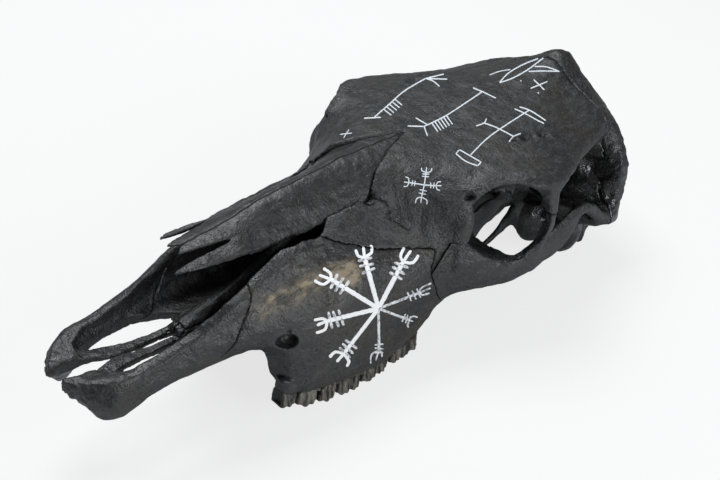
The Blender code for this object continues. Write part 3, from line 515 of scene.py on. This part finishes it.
def jaw_black(name, worn):
    """Make stained bone that wears through to brown, with grey teeth."""
    surface = black_bone(name, dark=(0.004, 0.004, 0.005), warm=(0.018, 0.014, 0.0095),
                         rubbed=(0.075, 0.077, 0.08), rubbing=0.5)
    tree = surface.node_tree
    shader = tree.nodes["Principled BSDF"]
    where = node(tree, "ShaderNodeTexCoord").outputs["Object"]
    before = shader.inputs["Base Color"].links[0].from_socket
    rub = node(tree, "ShaderNodeTexNoise", Scale=58.0, Detail=6.0, Roughness=0.6)
    scrape = node(tree, "ShaderNodeTexNoise", Scale=300.0, Detail=4.0, Roughness=0.6)
    along = node(tree, "ShaderNodeMapping")
    along.inputs["Scale"].default_value = (1.0, 0.3, 1.0)
    rib = node(tree, "ShaderNodeTexNoise", Scale=300.0, Detail=4.0, Roughness=0.6)
    up = node(tree, "ShaderNodeMapping")
    up.inputs["Scale"].default_value = (1.0, 1.0, 0.18)
    wire(tree, (where, rub.inputs["Vector"]), (where, along.inputs["Vector"]),
         (along.outputs["Vector"], scrape.inputs["Vector"]), (where, up.inputs["Vector"]),
         (up.outputs["Vector"], rib.inputs["Vector"]))
    share = math_node(tree, "MULTIPLY", attribute(tree, "worn"), worn)
    rubs = math_node(tree, "MULTIPLY", spread(tree, rub.outputs["Fac"], 0.34, 0.58, 0.25, 1.0),
                     spread(tree, scrape.outputs["Fac"], 0.34, 0.58, 0.45, 1.0))
    through = math_node(tree, "MULTIPLY", share, rubs)
    brown = blend(tree, spread(tree, through, 0.15, 0.8), BROWN_DARK, BROWN_PALE)
    colour = blend(tree, spread(tree, through, 0.06, 0.75), before, brown)
    enamel = blend(tree, spread(tree, rib.outputs["Fac"], 0.42, 0.6), CROWN_DARK, CROWN_PALE)
    colour = blend(tree, attribute(tree, "crown"), colour, enamel)
    wire(tree, (colour, shader.inputs["Base Color"]))
    return surface


for word, sign, worn in (("left", 1, 1.0), ("right", -1, 0.55)):
    jaw = blank(f"maxilla_{word}_bone", f"maxilla_{word}", JAW_GRAIN)
    co, p, normal = read(jaw)
    gum = np.interp(p[:, 1], [y for y, _ in GUM_LINE], [z for _, z in GUM_LINE])
    crown = ease(gum - p[:, 2], -1.0, 1.0) * ease(p[:, 1], 146, 149)
    gap = np.min(np.abs(p[:, 1][:, None] - np.array(TOOTH_GAPS)[None, :]), axis=1)
    patch = 0.72 * ease(-from_line(p, WORN_BAND), -15, -2)
    patch += 0.5 * sum(near(p, *spot) for spot in WORN_SPOTS)
    pit = sum(near(p, *hole) for hole in CHEEK_HOLES)
    ribs = np.sin(p[:, 1] * 1.25 + 1.1 * np.sin(p[:, 1] * 0.31)) * RIB_HEIGHT
    height = fine_relief(p, 20 + sign) + crown * (ribs - GAP_DEPTH * ease(-gap, -2.2, 0.0))
    height += 1.7 * near(p, *FIRST_TOOTH)
    height -= GUM_DEPTH * ease(-np.abs(gum - p[:, 2]), -1.6, 0)
    height -= CHEEK_HOLE_DEPTH * np.clip(pit, 0, 1) * (sign * p[:, 0] > 45)
    height += 0.35 * lumps(p, 4.5, 31, 3) * ease(p[:, 2], 60, 90)
    raise_by(jaw, co, p, normal, height)
    # Painted shade along the gum line, between the teeth and in the holes of the cheek.
    edge = 0.6 * ease(-np.abs(gum - p[:, 2]), -1.8, 0) * ease(p[:, 1], 148, 154)
    note(jaw, deep=np.clip(crown * ease(-gap, -2.6, -1.0) + edge + 1.6 * pit, 0, 1),
         worn=np.clip(patch, 0, 1), crown=crown * (1 - ease(-gap, -2.4, -1.0)))
    jaw.data.materials.append(jaw_black(f"maxilla_{word}_black", worn))
    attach(jaw, "root")
    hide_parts(f"maxilla_{word}")

# Cheek bones: the arch of stained bone under each orbit, joined to the jaw in front and to
# the cranium behind. Its upper edge carries the lower half of the spongy rim, and its back
# end is darkened with painted shade.
CHEEK_GRAIN = 0.00115
CHEEK_SHADE = (362, 384)

for word, sign in (("left", 1), ("right", -1)):
    cheek = blank(f"zygomatic_{word}_bone", f"zygomatic_{word}", CHEEK_GRAIN)
    co, p, normal = read(cheek)
    spongy = ease(-from_line(p, ORBIT_RIM), -6.5, -2.0) * (0.55 + 0.45 * lumps(p, 9.0, 3))
    spongy = np.clip(spongy, 0, 1)
    height = fine_relief(p, 40 + sign) + 0.5 * lumps(p, 2.6, 43, 2) * spongy
    raise_by(cheek, co, p, normal, height)
    # Painted shade: the arch darkens from the first place in CHEEK_SHADE to the second.
    note(cheek, spongy=spongy, deep=0.9 * ease(p[:, 1], *CHEEK_SHADE))
    cheek.data.materials.append(black_bone(
        f"zygomatic_{word}_black", dark=(0.004, 0.004, 0.0045), warm=(0.013, 0.011, 0.0085),
        rubbed=(0.075, 0.08, 0.088), rubbing=0.45))
    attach(cheek, "root")
    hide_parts(f"zygomatic_{word}")

# Nasal bones: two long bent plates of stained bone side by side over the nose. Their front
# ends are broken into splinters, where the pale inside of the plate shows.
NASAL_GRAIN = 0.0009
BROKEN_EDGE, BROKEN_TIP = ((19, 126, 103), (7, 15, 6)), ((21, 97, 96), (5, 12, 5))

for word, sign in (("left", 1), ("right", -1)):
    plate = blank(f"nasal_{word}_bone", f"nasal_{word}", NASAL_GRAIN)
    co, p, normal = read(plate)
    across = np.abs(p[:, 0])
    front = ease(-p[:, 1], -125, -92) * ease(across, 13, 18)
    broken = front * (0.55 + 0.6 * lumps(p, 6.0, 51)) + 1.2 * near(p, *BROKEN_EDGE)
    broken = np.clip(broken + 0.8 * near(p, *BROKEN_TIP), 0, 1)
    outer = ease(across, 14, 21) * ease(-p[:, 1], -205, -150)
    height = fine_relief(p, 50 + sign) * 0.7 + 0.45 * lumps(p, 2.4, 53, 2) * front
    height += 0.25 * lumps(p, 3.0, 54, 2) * outer
    raise_by(plate, co, p, normal, height)
    note(plate, spongy=broken)
    plate.data.materials.append(black_bone(
        f"nasal_{word}_black", dark=(0.003, 0.0032, 0.004), warm=(0.010, 0.009, 0.0075),
        rubbed=(0.05, 0.055, 0.064), rubbing=0.34, pores=0.55, bump=0.5))
    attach(plate, "root")
    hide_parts(f"nasal_{word}")

# Front of the nose: two bones stained black, each with a blunt ragged pad and two long
# arms. Set side by side, they leave the openings of the palate between them.
MUZZLE_GRAIN = 0.001

for word, sign in (("left", 1), ("right", -1)):
    muzzle = blank(f"premaxilla_{word}_bone", f"premaxilla_{word}", MUZZLE_GRAIN)
    co, p, normal = read(muzzle)
    tip = ease(-p[:, 1], -30, -14)
    height = fine_relief(p, 60 + sign) + tip * (1.5 * lumps(p, 5.0, 63, 3) - 0.4)
    raise_by(muzzle, co, p, normal, height)
    note(muzzle, spongy=np.clip(tip * 0.25 * lumps(p, 5.0, 65), 0, 1))
    muzzle.data.materials.append(black_bone(
        f"premaxilla_{word}_black", dark=(0.003, 0.003, 0.0038), warm=(0.013, 0.011, 0.008),
        rubbed=(0.055, 0.057, 0.063), rubbing=0.42))
    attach(muzzle, "root")
    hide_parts(f"premaxilla_{word}")

# Vomer: the thin keel of stained bone that stands in the middle of the nose. It is set in
# the palate, and its front end lies between the arms of the front bones.
KEEL_GRAIN = 0.0009

keel = blank("vomer_bone", "vomer", KEEL_GRAIN)
co, p, normal = read(keel)
raise_by(keel, co, p, normal, fine_relief(p, 70) * 0.8)
note(keel)
keel.data.materials.append(black_bone(
    "vomer_black", dark=(0.004, 0.004, 0.0045), warm=(0.012, 0.0105, 0.0085),
    rubbed=(0.06, 0.062, 0.067), rubbing=0.42))
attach(keel, "root")
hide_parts("vomer")

# Eight-armed stave: a traditional figure brushed on the left cheek in thick white paint,
# each arm with three crossbars and a three-pronged fork. It is drawn on a sheet that
# faces the camera and carried from there onto the bone.
EYE = Vector((0.5915, -0.5213, 0.6344))
AIM = (math.radians(54.4245), math.radians(0.616), math.radians(47.3624))
LENS, SENSOR, WIDE, HIGH = 65.73, 36.0, 720.0, 480.0
PAINT_BODY = 0.00022                 # how thick the paint stands on the bone
PAINT_ROOT = 0.0005                  # how far it sinks into the bone's pores
STEP = 0.9                           # of a stroke, in units of the sheet
SHARES = (-1, -0.62, 0, 0.62, 1)     # places across a stroke, from edge to edge
CROWNING = (0.25, 0.85, 1.0, 0.85, 0.25)   # how full the paint stands at each of them
FOLD = 0.006                         # a stroke breaks where the bone falls away by this
THICK_WHITE, DRY_WHITE, PEN_WHITE = (0.88, 0.89, 0.9), (0.74, 0.76, 0.78), (0.66, 0.71, 0.75)
THIN_GREY = (0.16, 0.17, 0.19, 1)    # where the brush ran dry
DRY_BELOW = 2.9                      # strokes narrower than this run dry
COVERED, BARELY_COVERED = 0.64, 0.47

bpy.ops.object.select_all(action="DESELECT")
bpy.ops.object.camera_add(location=EYE, rotation=AIM)
camera = bpy.context.object
camera.name = "camera"
camera.data.lens = LENS
camera.data.sensor_width = SENSOR
camera.data.clip_end = 10
bpy.context.scene.camera = camera
bpy.context.view_layer.update()

painted_on = [o for o in bpy.data.objects if o.name in (
    "cranium_bone", "maxilla_left_bone", "zygomatic_left_bone", "nasal_left_bone")]
trees = [BVHTree.FromObject(o, bpy.context.evaluated_depsgraph_get()) for o in painted_on]


def on_bone(u, v):
    """Carry a point of the sheet onto the bone: its place and the way the bone faces."""
    ray = Vector(((u - WIDE / 2) / WIDE * SENSOR, (HIGH / 2 - v) / WIDE * SENSOR, -LENS))
    ray = (camera.matrix_world.to_3x3() @ ray).normalized()
    hits = [tree.ray_cast(EYE, ray) for tree in trees]
    hits = [(h[3], h[0], h[1]) for h in hits if h[0] is not None]
    if not hits:
        return None
    reach, place, facing = min(hits, key=lambda h: h[0])
    return place, facing, reach


def curve_through(points):
    """Walk along a hand-drawn line in even steps, rounding its corners a little."""
    if len(points) == 2:
        (x0, y0), (x1, y1) = points
        count = max(3, round(math.hypot(x1 - x0, y1 - y0) / STEP))
        return [(x0 + (x1 - x0) * i / count, y0 + (y1 - y0) * i / count)
                for i in range(count + 1)]
    line = [points[0], *points, points[-1]]
    walk = []
    for a, b, c, d in zip(line, line[1:], line[2:], line[3:]):
        count = max(2, round(math.hypot(c[0] - b[0], c[1] - b[1]) / STEP))
        for i in range(count):
            t = i / count
            walk.append(tuple(0.5 * (2 * b[k] + (c[k] - a[k]) * t
                                     + (2 * a[k] - 5 * b[k] + 4 * c[k] - d[k]) * t * t
                                     + (3 * b[k] - a[k] - 3 * c[k] + d[k]) * t ** 3)
                              for k in (0, 1)))
    walk.append(points[-1])
    return walk


def brush(bm, points, width, seed):
    """Lay one closed stroke of paint on the bone along a line of the sheet."""
    walk = curve_through(points)
    rows, last = [], len(walk) - 1
    for i, (x, y) in enumerate(walk):
        ahead, behind = walk[min(i + 1, last)], walk[max(i - 1, 0)]
        run = Vector((ahead[0] - behind[0], ahead[1] - behind[1])).normalized()
        end = min(i, last - i) * STEP
        half = width / 2 * math.sqrt(max(0.12, 1 - max(0.0, 1 - 2 * end / width) ** 2))
        half *= 1 + 0.16 * noise.noise(Vector((x * 0.35, y * 0.35, seed)))
        row = []
        for k, share in enumerate(SHARES):
            ragged = 0.12 * width * noise.noise(Vector((x * 0.8, y * 0.8, seed + k * 3)))
            off = half * share + ragged * (share != 0) * 0.5
            row.append(on_bone(x - run.y * off, y + run.x * off))
        rows.append(row)
    run_rows = []
    for row in rows + [None]:
        whole = row is not None and all(row) and max(h[2] for h in row) - min(
            h[2] for h in row) < FOLD
        if whole:
            run_rows.append(row)
            continue
        if len(run_rows) > 2:
            close_stroke(bm, run_rows)
        run_rows = []


def close_stroke(bm, rows):
    """Skin the paint between its crowned face and its root in the bone."""
    upper, lower = [], []
    for row in rows:
        facing = sum((h[1] for h in row), Vector()).normalized()
        upper.append([bm.verts.new(h[0] + facing * PAINT_BODY * f)
                      for h, f in zip(row, CROWNING)])
        lower.append([bm.verts.new(h[0] - facing * PAINT_ROOT) for h in row])
    for i in range(len(rows) - 1):
        for k in range(4):
            bm.faces.new((upper[i][k], upper[i][k + 1], upper[i + 1][k + 1], upper[i + 1][k]))
            bm.faces.new((lower[i][k], lower[i + 1][k], lower[i + 1][k + 1], lower[i][k + 1]))
        for k in (0, 4):
            bm.faces.new((upper[i][k], upper[i + 1][k], lower[i + 1][k], lower[i][k]))
    for i in (0, len(rows) - 1):
        for k in range(4):
            bm.faces.new((upper[i][k], upper[i][k + 1], lower[i][k + 1], lower[i][k]))


def white_paint(name, body, bare):
    """Make matt white paint that is thin and bluish where the brush ran dry."""
    surface = bpy.data.materials.new(name)
    surface.use_nodes = True
    tree = surface.node_tree
    shader = tree.nodes["Principled BSDF"]
    where = node(tree, "ShaderNodeTexCoord").outputs["Object"]
    dry = node(tree, "ShaderNodeTexNoise", Scale=420.0, Detail=5.0, Roughness=0.7)
    wire(tree, (where, dry.inputs["Vector"]))
    colour = blend(tree, spread(tree, dry.outputs["Fac"], bare, bare + 0.16),
                   (*body, 1), THIN_GREY)
    relief = node(tree, "ShaderNodeBump", Strength=0.4, Distance=0.0002)
    wire(tree, (colour, shader.inputs["Base Color"]),
         (dry.outputs["Fac"], relief.inputs["Height"]),
         (relief.outputs["Normal"], shader.inputs["Normal"]),
         (spread(tree, dry.outputs["Fac"], 0.3, 0.7, 0.45, 0.7), shader.inputs["Roughness"]))
    return surface


def paint_figure(name, strokes, finish, dry_finish=None, dry_below=0.0):
    """Make one painted piece from its strokes of (width, points)."""
    bm = bmesh.new()
    for seed, (width, points) in enumerate(strokes):
        before = len(bm.faces)
        brush(bm, points, width, seed * 7.1)
        bm.faces.ensure_lookup_table()
        for face in bm.faces[before:]:
            face.material_index = int(width < dry_below)
    bmesh.ops.recalc_face_normals(bm, faces=bm.faces)
    mesh = bpy.data.meshes.new(name)
    bm.to_mesh(mesh)
    bm.free()
    figure = bpy.data.objects.new(name, mesh)
    bpy.context.scene.collection.objects.link(figure)
    for face in mesh.polygons:
        face.use_smooth = True
    mesh.materials.append(finish)
    if dry_finish:
        mesh.materials.append(dry_finish)
    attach(figure, "root")


# Each arm: where its fork starts, the ends of its left, middle and right prong, how far
# its crossbars lie from the centre, how long they are, and the widths of the strokes.
STAVE_CENTRE = (378.5, 308.5)
STAVE_ARMS = [
    ((364.5, 257.5), (355.5, 249.5), (363.3, 246.5), (371.0, 245.0), (39, 45, 51), 15, 4.6, 3.0),
    ((403.0, 262.0), (404.2, 247.5), (411.0, 250.5), (418.6, 255.0), (37, 43, 49), 15, 4.6, 3.0),
    ((419.0, 293.0), (431.3, 283.2), (430.6, 288.0), (429.5, 293.0), (33, 38, 43), 10, 2.6, 1.7),
    ((409.0, 320.0), (417.8, 317.4), (413.0, 321.5), (408.8, 327.4), (27, 30, 33), 9, 2.6, 1.6),
    ((379.0, 350.5), (382.0, 357.0), (375.5, 360.5), (370.5, 363.5), (36, 40, 44), 9, 2.8, 1.7),
    ((343.5, 354.0), (346.5, 366.6), (336.5, 362.0), (329.4, 357.5), (45, 50.5, 55.5), 15,
     3.8, 3.0),
    ((327.0, 321.0), (315.8, 333.0), (316.6, 325.3), (313.8, 320.2), (38.6, 44, 49.7), 17,
     4.4, 3.0),
    ((331.0, 279.5), (314.0, 280.5), (318.8, 275.0), (323.2, 268.2), (40, 46, 52), 17, 4.6, 3.0),
]


def arm_strokes(centre, root, left, middle, right, bars, bar_long, shaft_wide, fine_wide):
    """Draw one arm of a stave: shaft, crossbars and a fork with bowed outer prongs."""
    centre, root = Vector(centre), Vector(root)
    out = (root - centre).normalized()
    over = Vector((-out.y, out.x))
    strokes = [(shaft_wide, [tuple(centre), tuple(root)]), (fine_wide, [tuple(root), middle])]
    for tip in (left, right):
        tip = Vector(tip)
        away = over if (tip - root).dot(over) > 0 else -over
        bow = root + away * (tip - root).dot(away) * 0.85 + out * (tip - root).dot(out) * 0.3
        strokes.append((fine_wide, [tuple(root), tuple(bow), tuple(tip)]))
    for i, far in enumerate(bars):
        at = centre + out * far
        lean = over + out * (0.12 * math.sin(far * 2.3 + i))
        strokes.append((fine_wide * 0.95, [tuple(at - lean * bar_long / 2),
                                           tuple(at + lean * bar_long / 2)]))
    return strokes


thick_white = white_paint("thick_white_paint", THICK_WHITE, COVERED)
stave = [stroke for arm in STAVE_ARMS for stroke in arm_strokes(STAVE_CENTRE, *arm)]
dry_white = white_paint("dry_white_paint", DRY_WHITE, BARELY_COVERED)
paint_figure("painted_stave", stave, thick_white, dry_white, DRY_BELOW)

# Small forked cross: four short arms with the same crossbars and forks, drawn on the
# forehead over the orbit in white paint with a fine pen.
CROSS_CENTRE = (424.3, 185.0)
CROSS_ARMS = [
    ((426.0, 172.6), (421.6, 167.6), (426.6, 167.4), (431.8, 168.2), (8.5, 11), 7.4, 1.3, 1.15),
    ((409.0, 182.6), (405.2, 177.0), (403.6, 182.1), (403.4, 186.4), (9.6, 12.2), 6.0, 1.3, 1.15),
    ((436.0, 185.8), (441.2, 181.8), (441.8, 185.8), (440.2, 190.4), (6.4, 9.4), 6.4, 1.3, 1.15),
    ((421.4, 197.2), (426.6, 204.4), (420.7, 203.2), (415.2, 203.2), (5.6, 9.0), 7.6, 1.3, 1.15),
]
pen_white = white_paint("pen_white_paint", PEN_WHITE, COVERED)
cross = [stroke for arm in CROSS_ARMS for stroke in arm_strokes(CROSS_CENTRE, *arm)]
paint_figure("painted_cross", cross, pen_white)

# Ornaments of the forehead: long shafts with comb teeth, crossbars, forks and plain
# outlines, drawn in white paint with the same fine pen.
PEN = 1.25


def comb(start, end, count, reach, side):
    """Draw a row of short teeth on one side of a shaft."""
    start, end = Vector(start), Vector(end)
    run = end - start
    over = Vector((-run.y, run.x)).normalized() * side
    teeth = []
    for i in range(count):
        foot = start + run * (i / max(count - 1, 1))
        teeth.append((PEN, [tuple(foot), tuple(foot + over * reach + run.normalized() * 1.5)]))
    return teeth


marks = [
    (PEN, [(374.5, 117.0), (390, 103.5), (405, 90.5), (425.5, 78.5)]),
    (PEN, [(363.8, 118.2), (381.0, 117.3)]),
    (PEN, [(425.5, 78.5), (447.5, 79.2)]), (PEN, [(425.5, 78.5), (444, 74.0)]),
    (PEN, [(425.5, 78.5), (433.0, 81.0), (439.5, 86.5)]),
    (PEN, [(424.0, 126.5), (444.5, 116.5), (464, 104), (482.5, 91.5)]),
    (PEN, [(473.0, 87.8), (483, 92), (496.0, 98.2)]),
    (PEN, [(415.5, 117.8), (427.8, 125.0)]),
    (PEN, [(407.5, 126.0), (424.0, 126.5)]), (PEN, [(424.0, 126.5), (427.5, 136.0)]),
    (PEN, [(470.5, 155.0), (486, 139.5), (503, 127.0), (529.5, 110.0)]),
    (PEN, [(455.8, 153.6), (459.6, 149.8)]), (PEN, [(459.6, 149.8), (481.2, 162.2)]),
    (PEN, [(481.2, 162.2), (477.6, 165.8)]), (PEN, [(477.6, 165.8), (466, 161.4), (455.8, 153.6)]),
    (PEN, [(514.5, 108.8), (524, 113.0), (536, 119.5), (544.0, 123.6)]),
    (PEN, [(519.5, 106.8), (531, 111.0), (545.8, 120.6)]),
    (PEN, [(484.0, 123.0), (497.5, 128.0), (513.5, 136.5)]),
    (PEN, [(476.0, 126.0), (484.0, 123.0), (486.5, 118.5)]),
    (PEN, [(521.0, 133.5), (513.5, 136.5), (509.0, 142.0)]),
    (PEN, [(499.5, 82.6), (511.0, 78.8), (527.0, 70.2), (540, 60.5), (552.0, 51.8)]),
    (PEN, [(499.5, 82.6), (508, 73.5), (522.0, 65.0), (538, 58.5), (552.0, 51.8)]),
    (PEN, [(534.5, 66.5), (546.5, 67.0), (559.5, 71.5)]),
    (PEN, [(528.5, 71.5), (543, 71.0), (559.5, 71.5)]),
    (PEN, [(530.5, 88.5), (547.5, 81.5)]), (PEN, [(533.5, 79.5), (544.5, 90.0)]),
    (PEN * 1.2, [(520.2, 80.6), (521.4, 81.2)]), (PEN * 1.2, [(537.6, 92.6), (539.2, 93.2)]),
    (PEN * 0.7, [(489.5, 75.0), (499, 71.5), (510.5, 69.5)]),
    (PEN * 0.8, [(340.0, 134.5), (352.0, 133.0)]), (PEN * 0.8, [(343.5, 138.0), (349.0, 129.5)]),
]
marks += comb((383.5, 109.0), (394.5, 99.0), 5, 10.0, 1)
marks += comb((431.5, 122.5), (446.0, 115.0), 6, 11.5, 1)
paint_figure("painted_forehead_marks", marks, pen_white)

# Floor and light: a plain pale floor whose shadows are lifted in the camera's view, a dim
# even studio light, and two large soft lamps above and beside the skull.
FLOOR_SIZE, FLOOR_PALE, FLOOR_GLOW = 6.0, (0.82, 0.82, 0.82, 1), 0.97
FLOOR_LIFT = 0.78                    # how far the shadows on the floor are lifted
STUDIO_LIGHT, LAMP_TINT = 0.2, (0.94, 0.97, 1.0)
LAMPS = [("top_light", (-0.6, 0.2, 1.5), (0, 0, 0.08), 0.8, 22),
         ("side_light", (1.4, 0.1, 0.72), (0, 0.0, 0.08), 0.7, 13)]

bpy.ops.object.select_all(action="DESELECT")
bpy.ops.mesh.primitive_grid_add(x_subdivisions=4, y_subdivisions=4, size=FLOOR_SIZE)
floor = bpy.context.object
floor.name = "floor"
pale = bpy.data.materials.new("pale_floor")
pale.use_nodes = True
matt_floor = pale.node_tree.nodes["Principled BSDF"]
matt_floor.inputs["Base Color"].default_value = FLOOR_PALE
matt_floor.inputs["Roughness"].default_value = 0.9
floor.data.materials.append(pale)
lit = node(pale.node_tree, "ShaderNodeEmission", Color=(1, 1, 1, 1), Strength=FLOOR_GLOW)
seen = node(pale.node_tree, "ShaderNodeLightPath")
mixed = node(pale.node_tree, "ShaderNodeMixShader")
wire(pale.node_tree,
     (math_node(pale.node_tree, "MULTIPLY", seen.outputs["Is Camera Ray"], FLOOR_LIFT),
      mixed.inputs["Fac"]),
     (matt_floor.outputs["BSDF"], mixed.inputs[1]),
     (lit.outputs["Emission"], mixed.inputs[2]),
     (mixed.outputs["Shader"], pale.node_tree.nodes["Material Output"].inputs["Surface"]))

world = bpy.data.worlds.new("studio")
world.use_nodes = True
world.node_tree.nodes["Background"].inputs["Color"].default_value = (1, 1, 1, 1)
world.node_tree.nodes["Background"].inputs["Strength"].default_value = STUDIO_LIGHT
bpy.context.scene.world = world
bpy.context.scene.view_settings.view_transform = "Standard"


def soft_light(name, place, aim, size, power):
    """Hang a square soft light that points at a place on the skull."""
    data = bpy.data.lights.new(name, "AREA")
    data.shape = "SQUARE"
    data.size = size
    data.energy = power
    data.color = LAMP_TINT
    light = bpy.data.objects.new(name, data)
    bpy.context.scene.collection.objects.link(light)
    light.location = place
    light.rotation_euler = (Vector(aim) - Vector(place)).to_track_quat("-Z", "Y").to_euler()


for lamp in LAMPS:
    soft_light(*lamp)
